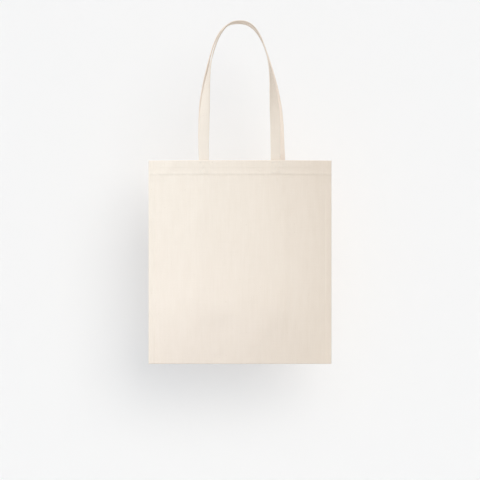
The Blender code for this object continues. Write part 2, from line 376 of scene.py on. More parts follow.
def pressed_waves(x, z, seed):
    """Pressed canvas is never quite flat."""
    broad = wander(x + 0.15 * z, 0.118, seed + 17) * wander(z - 0.1 * x, 0.170, seed + 19)
    small = wander(x - 0.22 * z, 0.043, seed + 21) * wander(z + 0.3 * x, 0.071, seed + 25)
    return 0.00050 * broad + 0.00022 * small


def relief(side, x, z):
    """How far sewing and pressing lift or dent the outer face."""
    seed = 11 if side == "front" else 23
    return (
        seam_relief(x, z, seed) + hem_relief(x, z, seed)
        + strap_end_relief(side, x, z, seed) + pressed_waves(x, z, seed)
    )


def outer_face(side, x, z):
    """Points on the outer face of a panel, details and settling included."""
    out = half_gap(x, z) + CLOTH + relief(side, x, z)
    edge = EDGE_HALF_SLIT + EDGE_CLOTH
    y = edge + (out - edge) * edge_share(x, z, EDGE_ROUND)
    return at(x, SIDES[side] * y, z) + settled(side, x, z)


def hem_depth(z):
    """Thickness of the layers behind the hem's outer cloth, one more where its raw edge is folded under."""
    under = band(TOP_Z - z, TOP_Z - HEM_END_Z - HEM_UNDERFOLD, 1.0, LAYER_STEP)
    inside = ease((z - HEM_END_Z) / 0.0011 + 0.5)
    return (0.00125 + 0.00025 * under) * inside


def inner_face(side, x, z):
    """Points on the inner face of a panel, the inside of its hem included."""
    seed = 31 if side == "front" else 43
    row = z - HEM_STITCH_Z
    ripple = 0.00016 * wander(x, 0.0125, seed) * hump(row, 0.008)
    dent = 0.00022 * hump(row, 0.0010) * (z > HEM_END_Z)
    clear_of_seam = band(HALF_WIDTH - np.abs(x), 0.02, 1.0, 0.01)
    gap = half_gap(x, z) + 0.6 * (relief(side, x, z) * clear_of_seam)
    inner = np.maximum(gap - hem_depth(z) + dent + ripple, EDGE_HALF_SLIT)
    y = EDGE_HALF_SLIT + (inner - EDGE_HALF_SLIT) * edge_share(x, z, 0.0011)
    return at(x, SIDES[side] * y, z) + settled(side, x, z)


# -------- mesh building

def add_mesh(name, points, polygons, uvs, sharp=None):
    """A smooth mesh object. polygons lists index arrays, each of faces of one length."""
    mesh = bpy.data.meshes.new(name)
    points = np.asarray(points, np.float32).reshape(-1, 3)
    mesh.vertices.add(len(points))
    mesh.vertices.foreach_set("co", points.ravel())
    corners = np.concatenate([group.ravel() for group in polygons]).astype(np.int32)
    sizes = np.concatenate([np.full(len(group), group.shape[1]) for group in polygons])
    starts = np.concatenate([[0], np.cumsum(sizes)[:-1]]).astype(np.int32)
    mesh.loops.add(len(corners))
    mesh.loops.foreach_set("vertex_index", corners)
    mesh.polygons.add(len(sizes))
    mesh.polygons.foreach_set("loop_start", starts)
    layer = mesh.uv_layers.new(name="cloth")
    layer.data.foreach_set("uv", np.asarray(uvs, np.float32)[corners].ravel())
    mesh.update(calc_edges=True)
    mesh.validate()
    mesh.shade_smooth()
    if sharp:
        mesh.set_sharp_from_angle(angle=math.radians(sharp))
    face_outwards(mesh)
    return add_object(name, mesh)


def face_outwards(mesh):
    """Turns the faces of closed bodies outwards."""
    mesh.calc_loop_triangles()
    tri = np.zeros(len(mesh.loop_triangles) * 3, np.int32)
    mesh.loop_triangles.foreach_get("vertices", tri)
    a, b, c = vertices_of(mesh)[tri.reshape(-1, 3)].transpose(1, 0, 2)
    if np.einsum("ij,ij->i", a, np.cross(b, c)).sum() < 0:
        mesh.flip_normals()


def grid_quads(rows, columns, wrap_rows=False, wrap_columns=False):
    """Faces of a grid of points, row by row."""
    down = np.arange(rows if wrap_rows else rows - 1)
    right = np.arange(columns if wrap_columns else columns - 1)
    j, i = np.meshgrid(down, right, indexing="ij")
    j1, i1 = (j + 1) % rows, (i + 1) % columns
    quads = np.stack([j * columns + i, j * columns + i1, j1 * columns + i1, j1 * columns + i], -1)
    return quads.reshape(-1, 4)


def grid_uvs(across, along):
    """Texture coordinates of a grid of points, row by row."""
    return np.stack(np.meshgrid(across, along), -1).reshape(-1, 2)


def add_bar(name, points, across, along, sharp=None):
    """A closed bar from rings of points, with one flat face at each end."""
    rows, columns = points.shape[:2]
    ring = np.arange(columns)
    ends = [ring[::-1][None], (ring + (rows - 1) * columns)[None]]
    faces = [grid_quads(rows, columns, wrap_columns=True)] + ends
    return add_mesh(name, points, faces, grid_uvs(across, along), sharp)


# -------- canvas panels

FOLD_TURNS = np.linspace(0, math.pi, 9)[1:-1]  # round the hem's top edge, from outer face to inner
SEAM_STRIP = 0.013  # the cloth's points lie close this near a seam
EDGE_STRIP = 0.020  # and widely spaced from here in
FIELD_PITCH = 0.0014


def canvas_grid():
    """Columns and rows of points over a panel, closest together at its seams and on its hem."""
    edge = joined(
        spaced(0, EDGE_ROUND, 0.0003),
        spaced(EDGE_ROUND, SEAM_STRIP, 0.0009),
        spaced(SEAM_STRIP, EDGE_STRIP, FIELD_PITCH),
    )
    field = spaced(-HALF_WIDTH + EDGE_STRIP, HALF_WIDTH - EDGE_STRIP, FIELD_PITCH)
    xs = joined(-HALF_WIDTH + edge, field, (HALF_WIDTH - edge)[::-1])
    hem_low = HEM_END_Z - 0.004
    field_rows = spaced(BOTTOM_Z + EDGE_STRIP, hem_low, 0.0021)
    zs = joined(BOTTOM_Z + edge, field_rows, spaced(hem_low, TOP_Z, 0.0007))
    return xs, zs


def folded_ring(outer, inner):
    """Rows of points up the outer face, over the fold and down the inner face."""
    first, last = outer[-1], inner[-1]
    centre, reach = (first + last) / 2, (first - last) / 2
    radius = np.linalg.norm(reach, axis=1, keepdims=True)
    up = np.array([0, 0, 1.0])
    fold = np.stack([centre + reach * math.cos(t) + radius * math.sin(t) * up for t in FOLD_TURNS])
    # The fold's crown is the bag's top edge, so both faces stop one radius below it.
    fold -= radius * up
    for face in (outer, inner):
        near_top = ease((face[..., 2] - (TOP_Z - 0.004)) / 0.004)
        face[..., 2] -= near_top * radius[:, 0]
    return np.concatenate([outer, fold, inner[::-1]])


def side_ends(count, rows, columns):
    """Faces that zip the outer and inner faces together along each side seam, and end the fold."""
    j = np.arange(count - 1)
    ends = []
    for i in (0, columns - 1):
        a, b = j * columns + i, (rows - 1 - j) * columns + i
        quads = np.stack([a, b, b - columns, a + columns], -1)
        ends.append(quads if i == 0 else quads[:, ::-1])
    left = np.arange(count - 1, count + len(FOLD_TURNS) + 1) * columns
    return ends + [left[::-1][None], (left + columns - 1)[None]]


def make_canvas(side):
    """A panel of canvas with its hem as one closed sheet, and the plain surface under each point."""
    xs, zs = canvas_grid()
    x, z = np.meshgrid(xs, zs)
    ring = folded_ring(outer_face(side, x, z), inner_face(side, x, z))
    rows, columns = ring.shape[:2]
    faces = [grid_quads(rows, columns, wrap_rows=True)] + side_ends(len(zs), rows, columns)
    if SIDES[side] > 0:
        faces = [group[:, ::-1] for group in faces]
    over_fold = TOP_Z + np.linspace(0.0002, 0.0018, len(FOLD_TURNS))
    along = np.concatenate([zs, over_fold, 2 * TOP_Z + 0.002 - zs[::-1]])
    piece = add_mesh(side + "_canvas", ring, faces, grid_uvs(xs, along))
    plain = plain_surface(side, x, z)
    top_row = np.repeat(plain[-1:], len(FOLD_TURNS), axis=0)
    return piece, np.concatenate([plain, top_row, plain[::-1]]).reshape(-1, 3)


# -------- stitches

STITCH_RINGS = np.array([-0.5, -0.44, -0.26, 0.0, 0.26, 0.44, 0.5])  # along a stitch, in lengths
STITCH_GIRTH = np.array([0.35, 0.80, 1.0, 1.06, 1.0, 0.80, 0.35])  # of the thread there, in radii
STITCH_SIDES = 6


def stitch_faces():
    """Faces of one stitch: its rings, closed by a point at each end."""
    sides = STITCH_SIDES
    around = np.arange(sides)
    nexts = (around + 1) % sides
    tip = len(STITCH_RINGS) * sides
    first = at(tip, nexts, around)
    last = at(tip + 1, tip - sides + around, tip - sides + nexts)
    return grid_quads(len(STITCH_RINGS), sides, wrap_columns=True), first, last


def make_stitches(name, centres, along, normals, length=STITCH_LENGTH, radius=THREAD_RADIUS, dip=0.00028):
    """A row of separate stitches: short rounded lengths of thread whose ends sink into the cloth."""
    directions = unit(along)
    across = unit(np.cross(directions, normals))
    normals = np.cross(across, directions)
    count = len(centres)
    spin, stretch, lift = np.random.default_rng(len(name) * 31 + count).normal(0, 1, (count, 3)).T
    directions = directions + across * (0.05 * spin)[:, None]
    lengths = length * (1 + 0.05 * stretch)
    reach = (STITCH_RINGS[None, :] * lengths[:, None])[..., None]
    sunk = (0.00003 * lift[:, None] - dip * (2 * STITCH_RINGS) ** 4)[..., None]
    line = centres[:, None, :] + directions[:, None, :] * reach + normals[:, None, :] * sunk
    turn = (np.arange(STITCH_SIDES) * 2 * math.pi / STITCH_SIDES)[None, None, :, None]
    radial = across[:, None, None, :] * np.cos(turn) + normals[:, None, None, :] * np.sin(turn)
    skin = line[:, :, None, :] + radial * (radius * STITCH_GIRTH)[None, :, None, None]
    tip = directions * 0.4 * radius
    tips = np.stack([line[:, 0] - tip, line[:, -1] + tip], 1)
    points = np.concatenate([skin.reshape(count, -1, 3), tips], 1)
    offsets = (np.arange(count) * points.shape[1])[:, None, None]
    faces = [(group[None] + offsets).reshape(-1, group.shape[1]) for group in stitch_faces()]
    turns = length / 0.001
    uvs = np.concatenate([
        grid_uvs(np.arange(STITCH_SIDES) / STITCH_SIDES, (STITCH_RINGS + 0.5) * turns),
        np.array([[0.5, 0.0], [0.5, turns]]),
    ])
    return add_mesh(name, points, faces, np.tile(uvs, (count, 1)))


def stitches_on_face(face, side, lines, pitch=STITCH_PITCH):
    """Centres, directions and normals of stitches along (x, z) lines on a panel's face."""
    parts = []
    for (ax, az), (bx, bz) in lines:
        run = math.hypot(bx - ax, bz - az)
        count = max(int(round(run / pitch)), 1)
        t = (np.arange(count) + 0.5) / count
        part = ax + (bx - ax) * t, az + (bz - az) * t, (bx - ax) / run, (bz - az) / run
        parts.append(np.broadcast_arrays(*part))
    x, z, dx, dz = np.concatenate(parts, axis=1)

    def slope(step_x, step_z):
        return face(side, x + step_x, z + step_z) - face(side, x - step_x, z - step_z)

    step = 0.0006
    normal = unit(np.cross(slope(step, 0), slope(0, step)))
    outward = SIDES[side] if face is outer_face else -SIDES[side]
    normal *= np.where(normal[:, 1:2] * outward < 0, -1, 1)
    return face(side, x, z) + normal * STITCH_PROUD, slope(dx * step, dz * step), normal


# -------- straps

ARCH_POWER = 2.5
CROWN_MIDDLE = 0.0115
TWIST_START, TWIST_END = 0.050, 0.230
CROWN_LEAN = {"front": 0.0, "back": -0.008}
EDGE_STITCH_ACROSS = STRAP_WIDTH / 2 - 0.0022
FOOT_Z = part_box("front_handle")[0].z
FOLD_LENGTH = 0.016  # how much of the strap bends over the hem when the handle falls
HELD_LENGTH = 0.03  # the strap's points lie closer together over this much above each sewn end


def strap_line(side):
    """Dense points of a strap's middle line from its right end to its left, sewn ends included."""
    left, right = LEGS[side]
    half_span, middle_x = (right - left) / 2, (right + left) / 2
    crown_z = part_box(side + "_handle")[1].z - STRAP_THICKNESS / 2
    rise = crown_z - FOOT_Z
    angle = np.linspace(0, math.pi, 6001)
    c, s = np.cos(angle), np.clip(np.sin(angle), 0, 1)
    up = s ** (2 / ARCH_POWER)
    x = middle_x + half_span * np.sign(c) * np.abs(c) ** (2 / ARCH_POWER) + CROWN_LEAN[side] * up
    y = SIDES[side] * (STRAP_MIDDLE_Y + (CROWN_MIDDLE - STRAP_MIDDLE_Y) * ease(up))
    arch = at(x, y, FOOT_Z + rise * up)
    end_z = np.linspace(TOP_Z - STRAP_END_LENGTH, FOOT_Z, 60)[:-1]
    foot_y = SIDES[side] * STRAP_MIDDLE_Y
    return np.concatenate([at(right, foot_y, end_z), arch, at(left, foot_y, end_z)[::-1]])


class Strap:
    """A strap's middle line with its width and face directions, read at any distance along it."""

    def __init__(self, side):
        self.side = side
        self.seed = 51 if side == "front" else 67
        line = strap_line(side)
        apart = np.linalg.norm(np.diff(line, axis=0), axis=1) > 1e-7
        self.line = line[np.concatenate([[True], apart])]
        self.run = run_along(self.line)
        self.length = self.run[-1]

    def place(self, s):
        return at(*(np.interp(s, self.run, coordinate) for coordinate in self.line.T))

    def read(self, s):
        """Place, and the directions along the strap, across its width and out of its face."""
        along = unit(self.place(s + 0.0025) - self.place(s - 0.0025))
        from_foot = np.minimum(s, self.length - s) - STRAP_END_LENGTH
        turn = math.pi / 2 * ease((from_foot - TWIST_START) / (TWIST_END - TWIST_START))
        outward = unit(at(along[..., 2], 0.0, -along[..., 0]))
        off_panel = np.array([0.0, SIDES[self.side], 0.0])
        face = off_panel * np.cos(turn)[..., None] + outward * np.sin(turn)[..., None]
        width = unit(np.cross(along, face))
        return self.place(s), along, width, np.cross(width, along)

    def sway(self, s):
        """How far the strap strays to the side of its line."""
        return 0.00025 * wander(s, 0.085, self.seed) + 0.00010 * wander(s, 0.019, self.seed + 1)

    def ripple(self, s, across):
        """How far the strap's face waves out of its plane, none of it at the sewn ends."""
        held = np.minimum(1, s / HELD_LENGTH) * np.minimum(1, (self.length - s) / HELD_LENGTH)
        wave = 0.00016 * wander(s, 0.031, self.seed + 3)
        tilt = 0.00010 * wander(s, 0.011, self.seed + 4) * across / (STRAP_WIDTH / 2)
        return (wave + tilt) * held


STRAPS = {side: Strap(side) for side in SIDES}


def strap_half_thickness(across, s):
    """Half the strap's thickness across its width: rounded edges, and a dent along each stitch row."""
    t = np.abs(across) / (STRAP_WIDTH / 2)
    from_row = np.abs(across) - EDGE_STITCH_ACROSS
    rounded = np.clip(1 - np.clip((t - 0.90) / 0.10, 0, 1) ** 2.4, 0, 1) ** 0.5
    dent = 0.00022 * hump(from_row, 0.0009)
    pad = 0.00008 * np.cos(2 * math.pi * s / STITCH_PITCH) * hump(from_row, 0.0016)
    crown = 0.00010 * (1 - t**2)
    return (STRAP_THICKNESS / 2 - dent + pad + crown - 0.0001) * rounded


def make_strap(side):
    """A folded canvas strap, edge-stitched, from one sewn end over the crown to the other."""
    strap = STRAPS[side]
    fold = STRAP_END_LENGTH - 0.002, STRAP_END_LENGTH + FOLD_LENGTH + 0.002
    end = joined(spaced(0, fold[0], 0.0018), spaced(*fold, 0.0006))
    s = joined(end, spaced(fold[1], strap.length - fold[1], 0.0016), (strap.length - end)[::-1])
    half = STRAP_WIDTH / 2
    near_edge = np.array([0.93, 0.96, 0.98, 0.995])
    top = np.concatenate([-near_edge[::-1], np.linspace(-0.90, 0.90, 23), near_edge]) * half
    across = np.concatenate([top, [half], top[::-1], [-half]])
    face_sign = np.concatenate([np.ones(len(top)), [0], -np.ones(len(top)), [0]])
    # The open edge of the fold shows as a fine line down one side.
    lip = np.where(face_sign == 0, -0.00018 * np.sign(across), 0.0)
    place, _, width, face = strap.read(s)
    run = s[:, None]
    swell = 1 + 0.006 * wander(run, 0.060, strap.seed + 2)
    a = across * swell + strap.sway(run)
    out = strap_half_thickness(across, run) * face_sign + strap.ripple(run, a)
    points = place[:, None, :] + width[:, None, :] * (a + lip)[..., None] + face[:, None, :] * out[..., None]
    around = np.concatenate([[0], np.cumsum(np.abs(np.diff(across)))])
    return add_bar(side + "_strap", points, around, s, sharp=60)


def strap_stitches(side, which):
    """Edge stitching down one edge of a strap, on both its faces."""
    strap = STRAPS[side]
    across = EDGE_STITCH_ACROSS * (-SIDES[side] if which == "outer" else SIDES[side])
    inset = 0.0015
    count = int((strap.length - 2 * inset) / STITCH_PITCH)
    s = inset + (np.arange(count) + 0.5) * STITCH_PITCH
    place, along, width, face = strap.read(s)
    row = place + width * (across + strap.sway(s))[:, None]
    rows = []
    for way, shift in ((1, 0.0), (-1, STITCH_PITCH / 2)):
        proud = way * (strap_half_thickness(across, 0.0) + 0.00008) + strap.ripple(s, across)
        rows.append((row + face * proud[:, None] + along * shift, along, face * way))
    name = side + "_strap_" + which + "_stitches"
    return make_stitches(name, *(np.concatenate(both) for both in zip(*rows)))


# -------- seams inside the bag

SEAM_SEEDS = {"left": 71, "right": 83, "bottom": 97}
SEAM_STITCH_IN = 0.00055  # how far in from the bag's edge the seam's thread lies


class SeamFrame:
    """Where a seam's allowance lies: `run` goes along the seam and `depth` into the bag from the seam."""

    def __init__(self, label):
        low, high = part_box(label + "_seam_allowance")
        self.upright = label != "bottom"
        if self.upright:
            self.start, self.stop = low.z + 0.0005, HEM_END_Z + 0.004
            self.outer, self.raw = (low.x, high.x) if label == "left" else (high.x, low.x)
        else:
            self.start, self.stop = low.x, high.x
            self.outer, self.raw = low.z, high.z
        self.width = abs(self.raw - self.outer)

    def points(self, run, depth, y):
        """Points this far in from the allowance's sewn edge."""
        inward = self.outer + math.copysign(1, self.raw - self.outer) * depth
        return at(inward, y, run) if self.upright else at(run, y, inward)


def make_allowance(label):
    """The panels' two raw edges, pressed together and cut a little unevenly."""
    seam = SeamFrame(label)
    seed = SEAM_SEEDS[label]
    run = spaced(seam.start, seam.stop, 0.0018)
    share = np.concatenate([np.linspace(0, 0.94, 9), [0.98, 1.0, 0.98], np.linspace(0.94, 0, 9)])
    half = np.concatenate([np.full(9, 1.0), [0.8, 0.0, -0.8], np.full(9, -1.0)]) * CLOTH * 0.92
    depth = share * seam.width
    ragged = 1 + 0.035 * wander(run, 0.013, seed)
    wave = 0.00022 * wander(run, 0.021, seed + 1)
    y = half[None, :] + wave[:, None] * share[None, :] ** 2
    points = seam.points(run[:, None], depth[None, :] * ragged[:, None], y)
    around = np.concatenate([[0], np.cumsum(np.abs(np.diff(depth)) + np.abs(np.diff(half)))])
    return add_bar(label + "_allowance_cloth", points, around, run)


def make_overlock(label):
    """Overlock thread wound round the raw edge: one long flattened spiral."""
    seam = SeamFrame(label)
    pitch, bite, radius, sides = 0.0026, 0.0046, 0.00016, 5
    turns = (seam.stop - seam.start - 0.004) / pitch
    t = np.linspace(0, turns, int(turns * 14))
    c, s = np.cos(2 * math.pi * t), np.sin(2 * math.pi * t)
    depth = seam.width + 0.0003 - bite / 2 + bite / 2 * np.sign(c) * np.abs(c) ** 0.8
    y = 0.00068 * np.sign(s) * np.abs(s) ** 0.45
    run = seam.start + 0.002 + t * pitch + 0.0005 * np.sin(4 * math.pi * t)
    path = seam.points(run, depth, y)
    along = unit(np.gradient(path, axis=0))
    side_way = unit(np.cross(along, [0.0, 1.0, 0.0]))
    up_way = np.cross(side_way, along)
    turn = (np.arange(sides) * 2 * math.pi / sides)[None, :, None]
    radial = side_way[:, None, :] * np.cos(turn) + up_way[:, None, :] * np.sin(turn)
    points = path[:, None, :] + radius * radial
    return add_bar(label + "_overlock_loops", points, np.arange(sides) / sides, run_along(path) / 0.001)


def make_seam_stitches(label):
    """The lockstitch that closes the seam, seen as short rungs between the two folded edges."""
    if label == "bottom":
        run = np.arange(-ALLOWANCE_INNER_X, ALLOWANCE_INNER_X, STITCH_PITCH)
        centre = at(run, 0.0, BOTTOM_Z + SEAM_STITCH_IN)
        direction, normal = [1.0, 0.0, 0.0], [0.0, 0.0, -1.0]
    else:
        way = -1.0 if label == "left" else 1.0
        run = np.arange(BOTTOM_Z + 0.003, TOP_Z - 0.003, STITCH_PITCH)
        centre = at(way * (HALF_WIDTH - SEAM_STITCH_IN), 0.0, run)
        direction, normal = [0.0, 0.0, 1.0], [way, 0.0, 0.0]
    each = [np.tile(vector, (len(run), 1)) for vector in (direction, normal)]
    return make_stitches(label + "_seam_stitches", centre, *each, radius=0.00017, dip=0.0002)


# -------- materials

def node_tree(name, roughness, sheen):
    material = bpy.data.materials.new(name)
    material.use_nodes = True
    tree = material.node_tree
    shader = tree.nodes["Principled BSDF"]
    looks = {
        "Roughness": roughness, "Sheen Weight": sheen, "Sheen Roughness": 0.6, "Specular IOR Level": 0.25,
    }
    for socket, value in looks.items():
        shader.inputs[socket].default_value = value
    return material, tree, shader


class Nodes:
    """Short ways to add and join shader nodes."""

    def __init__(self, tree):
        self.tree = tree

    def add(self, kind, **inputs):
        node = self.tree.nodes.new(kind)
        for key, value in inputs.items():
            if key.startswith("_"):
                setattr(node, key[1:], value)
            else:
                self.feed(node.inputs[key.replace("_", " ")], value)
        return node

    def feed(self, socket, value):
        if isinstance(value, bpy.types.NodeSocket):
            self.tree.links.new(value, socket)
        else:
            socket.default_value = value

    def cloth(self):
        """Where a point is on the cloth, as one vector and as its two parts."""
        uv = self.add("ShaderNodeUVMap", _uv_map="cloth").outputs["UV"]
        split = self.add("ShaderNodeSeparateXYZ", Vector=uv)
        return uv, split.outputs["X"], split.outputs["Y"]

    def maths(self, operation, a, b=None, clamp=False):
        node = self.add("ShaderNodeMath", _operation=operation, _use_clamp=clamp)
        self.feed(node.inputs[0], a)
        if b is not None:
            self.feed(node.inputs[1], b)
        return node.outputs[0]

    def total(self, *terms, clamp=False):
        """The sum of (value, weight) terms and plain numbers."""
        parts = [self.maths("MULTIPLY", *term) if isinstance(term, tuple) else term for term in terms]
        out = parts[0]
        for number, part in enumerate(parts[1:], 2):
            out = self.maths("ADD", out, part, clamp=clamp and number == len(parts))
        return out

    def around(self, value, level):
        return self.maths("SUBTRACT", value, level)

    def scaled(self, vector, scale):
        node = self.add("ShaderNodeVectorMath", _operation="MULTIPLY")
        self.feed(node.inputs[0], vector)
        node.inputs[1].default_value = scale
        return node.outputs[0]

    def noise(self, uv, across, along, detail=2.0, rough=0.5, scale=1.0):
        """Noise with this many waves to a unit across and along the cloth."""
        stretched = self.scaled(uv, (across, along, 1.0))
        node = self.add(
            "ShaderNodeTexNoise", Vector=stretched, Scale=scale, Detail=detail, Roughness=rough,
        )
        return node.outputs["Fac"]

    def ramp(self, value, low, high, to_low=0.0, to_high=1.0):
        node = self.add(
            "ShaderNodeMapRange", _interpolation_type="SMOOTHSTEP", Value=value,
            From_Min=low, From_Max=high, To_Min=to_low, To_Max=to_high,
        )
        return node.outputs["Result"]

    def mix(self, factor, a, b):
        node = self.add("ShaderNodeMix", _data_type="RGBA")
        for socket, value in ((0, factor), (6, a), (7, b)):
            self.feed(node.inputs[socket], value)
        return node.outputs[2]

    def bump(self, height, strength, shader):
        node = self.add("ShaderNodeBump", Strength=strength, Distance=1.0, Height=height)
        self.tree.links.new(node.outputs["Normal"], shader.inputs["Normal"])


WARP_PITCH = 0.00062
WEFT_PITCH = 0.00074
FLECK_BROWN = (0.42, 0.27, 0.14, 1.0)


def plain_weave(n, uv, u, v):
    """Warp and weft change places at every crossing: above 0 where warp is on top, 0 between yarns."""
    # Yarns don't run quite straight.
    drift_u = n.noise(uv, 60.0, 6.0, 1.0)
    drift_v = n.noise(uv, 7.0, 55.0, 1.0)
    waves = []
    for along, pitch, drift in ((u, WARP_PITCH, drift_u), (v, WEFT_PITCH, drift_v)):
        count = n.total(n.maths("DIVIDE", along, pitch), (drift, 1.6))
        waves.append(n.maths("SINE", n.maths("MULTIPLY", count, math.pi)))
    return n.maths("MULTIPLY", *waves)


def seed_flecks(n, uv):
    """How far the brown of seed specks shows: small uneven ones, in a few cells only."""
    uneven = n.noise(uv, 3100.0, 2300.0, rough=0.7)
    cells = n.scaled(uv, (1 / 0.014, 1 / 0.018, 1))
    cell = n.add("ShaderNodeTexVoronoi", Vector=cells, Scale=1.0, _voronoi_dimensions="2D")
    chance = n.add("ShaderNodeSeparateColor", Color=cell.outputs["Color"])
    lucky = n.ramp(chance.outputs[0], 0.88, 0.90)
    size = n.total((chance.outputs[1], 0.020), 0.014)
    ragged = n.total(n.maths("DIVIDE", cell.outputs["Distance"], size), (uneven, 1.3))
    return n.maths("MULTIPLY", n.maths("MULTIPLY", lucky, n.ramp(ragged, 1.65, 1.25)), 0.62)


def fibre_fuzz(n, uv, over):
    """Fibres run along whichever yarn is on top."""
    warp_fibre = n.noise(uv, 11000.0, 1500.0, rough=0.7)
    weft_fibre = n.noise(uv, 1500.0, 11000.0, rough=0.7)
    warp_on_top = n.ramp(over, -0.15, 0.15)
    return n.total((warp_fibre, warp_on_top), (weft_fibre, n.maths("SUBTRACT", 1.0, warp_on_top)))


def canvas_material(name, light, shade):
    """Unbleached plain-weave canvas: yarns, thick and thin slubs, a few seed flecks, and painted shade
    darkening the hollows between yarns.
    """
    material, tree, shader = node_tree(name, 0.93, 0.18)
    n = Nodes(tree)
    uv, u, v = n.cloth()
    over = plain_weave(n, uv, u, v)
    crown = n.maths("ABSOLUTE", over)
    # Slubs: yarns thicker over part of their length.
    warp_slub = n.noise(uv, 1 / 0.0019, 1 / 0.075, 3.0, 0.65)
    weft_slub = n.noise(uv, 1 / 0.060, 1 / 0.0021, 3.0, 0.65)
    fine_warp = n.noise(uv, 1 / 0.0007, 1 / 0.018, rough=0.6)
    wide_warp = n.noise(uv, 1 / 0.0075, 1 / 0.060, rough=0.6)
    broad = n.noise(uv, 9.0, 5.0)
    streaks = (
        (warp_slub, 0.45), (weft_slub, 0.2625), (fine_warp, 0.225), (wide_warp, 0.4125), (broad, 0.2625),
    )
    # Painted shade: the crown term darkens the colour in the hollows between yarn crowns; the streak terms
    # are the cloth's own uneven tone.
    tone = n.total(
        *((n.around(streak, 0.5), weight) for streak, weight in streaks),
        (n.around(crown, 0.4), 0.28), (n.maths("SIGN", over), 0.03), 0.5, clamp=True,
    )
    colour = n.mix(tone, (*shade, 1.0), (*light, 1.0))
    colour = n.mix(seed_flecks(n, uv), colour, FLECK_BROWN)
    tree.links.new(colour, shader.inputs["Base Color"])
    fuzz = fibre_fuzz(n, uv, over)
    height = n.total((crown, 0.00010), (warp_slub, 0.00015), (weft_slub, 0.00014), (fuzz, 0.00007))
    n.bump(height, 0.85, shader)
    tree.links.new(n.ramp(tone, 0.2, 0.9, 0.97, 0.88), shader.inputs["Roughness"])
    return material


def thread_material(name, light, shade):
    """Spun cotton thread: plies that wind round it, lint, and painted shade darkening the grooves between
    plies.
    """
    material, tree, shader = node_tree(name, 0.8, 0.25)
    n = Nodes(tree)
    uv, u, v = n.cloth()
    wind = n.total((u, 3.0), (v, 1.5))
    ply = n.maths("ABSOLUTE", n.maths("SINE", n.maths("MULTIPLY", wind, math.pi)))
    lint = n.noise(uv, 3.0, 2.0, 3.0, 0.6, scale=3.0)
    # Painted shade: the ply term darkens the colour in the grooves between plies; the lint term is the
    # thread's own uneven tone.
    tone = n.total((ply, 0.6), (lint, 0.5), clamp=True)
    tree.links.new(n.mix(tone, (*shade, 1.0), (*light, 1.0)), shader.inputs["Base Color"])
    n.bump(n.total((ply, 0.00005), (lint, 0.00003)), 0.8, shader)
    return material


CANVAS = canvas_material("natural_canvas", (0.955, 0.842, 0.725), (0.855, 0.732, 0.602))
STRAP_CANVAS = canvas_material("strap_canvas", (0.945, 0.835, 0.720), (0.845, 0.725, 0.600))
THREAD = thread_material("seam_thread", (0.90, 0.84, 0.745), (0.74, 0.66, 0.55))
OVERLOCK = thread_material("overlock_thread", (0.91, 0.86, 0.78), (0.77, 0.70, 0.60))


# -------- the bag


def dress(piece, material, slot, *nodes):
    piece.data.materials.append(material)
    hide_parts(*nodes)
    return piece


def sewn_to_panel(piece, plain):
    """Bakes the piece's transform into its mesh, with the plain surface under each point set in while it
    does, and the detailed points put back after."""
    detailed = vertices_of(piece.data)
    piece.data.vertices.foreach_set("co", plain.ravel())
    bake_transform(piece)
    piece.data.vertices.foreach_set("co", detailed.ravel())
    piece.data.update()


def bends_at_hem(piece):
    """Bakes the strap's transform into its mesh."""
    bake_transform(piece)


def hem_stitches(side):
    """The hem's row of stitches, on both faces of the panel."""
    end = HALF_WIDTH - 0.0025
    line = [((-end, HEM_STITCH_Z), (end, HEM_STITCH_Z))]
    faces = [stitches_on_face(face, side, line) for face in (outer_face, inner_face)]
    centres, directions, normals = (np.concatenate(pair) for pair in zip(*faces))
    row = make_stitches(side + "_hem_stitches", centres, directions, normals)
    each = len(row.data.vertices) // len(centres)
    under = plain_surface(side, centres[:, 0], centres[:, 2])
    return row, np.repeat(under, each, axis=0)


def box_stitches(side, where, leg):
    """A strap end's crossed box, on the panel and, inside the bag, on the strap's end."""
    centres, directions, normals = stitches_on_face(outer_face, side, box_lines(leg), BOX_STITCH_PITCH)
    inside = centres.copy()
    inside[:, 1] = SIDES[side] * (STRAP_MIDDLE_Y - STRAP_THICKNESS / 2 - 0.00010)
    return make_stitches(
        side + "_" + where + "_box_stitches",
        np.concatenate([centres, inside]),
        np.concatenate([directions, directions * np.array([1.0, 0.0, 1.0])]),
        np.concatenate([normals, np.tile([0.0, -SIDES[side], 0.0], (len(centres), 1))]),
        length=BOX_STITCH_LENGTH,
    )


for side in SIDES:
    canvas, plain = make_canvas(side)
    dress(canvas, CANVAS, "canvas", side + "_panel")
    sewn_to_panel(canvas, plain)

    hem_row, plain = hem_stitches(side)
    dress(hem_row, THREAD, "seam_thread", side + "_hem_stitching")
    sewn_to_panel(hem_row, plain)

    for where, leg in zip(("left", "right"), LEGS[side]):
        box = dress(box_stitches(side, where, leg), THREAD, "seam_thread", side + "_" + where + "_box_stitch")
        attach(box, side)

    strap = dress(
        make_strap(side), STRAP_CANVAS, "strap_canvas",
        side + "_handle", side + "_handle_left_end", side + "_handle_right_end",
    )
    bends_at_hem(strap)
    for which in ("outer", "inner"):
        row = dress(
            strap_stitches(side, which), THREAD, "seam_thread",
            side + "_handle_" + which + "_edge_stitching",
        )
        bends_at_hem(row)

for label in SEAM_SEEDS:
    allowance = dress(make_allowance(label), CANVAS, "canvas", label + "_seam_allowance")
    overlock = dress(make_overlock(label), OVERLOCK, "overlock_thread", label + "_overlock_thread")
    seam_row = dress(make_seam_stitches(label), THREAD, "seam_thread", label + "_seam_stitching")
    for piece in (allowance, overlock, seam_row):
        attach(piece, "seams")


# -------- stage, light and camera

WALL_Y = 0.20
WALL_HEIGHT = 3.0
FLOOR_Z = BOTTOM_Z - 0.445
STAGE_HALF = 4.0
SUN_DISC = 0.526  # degrees


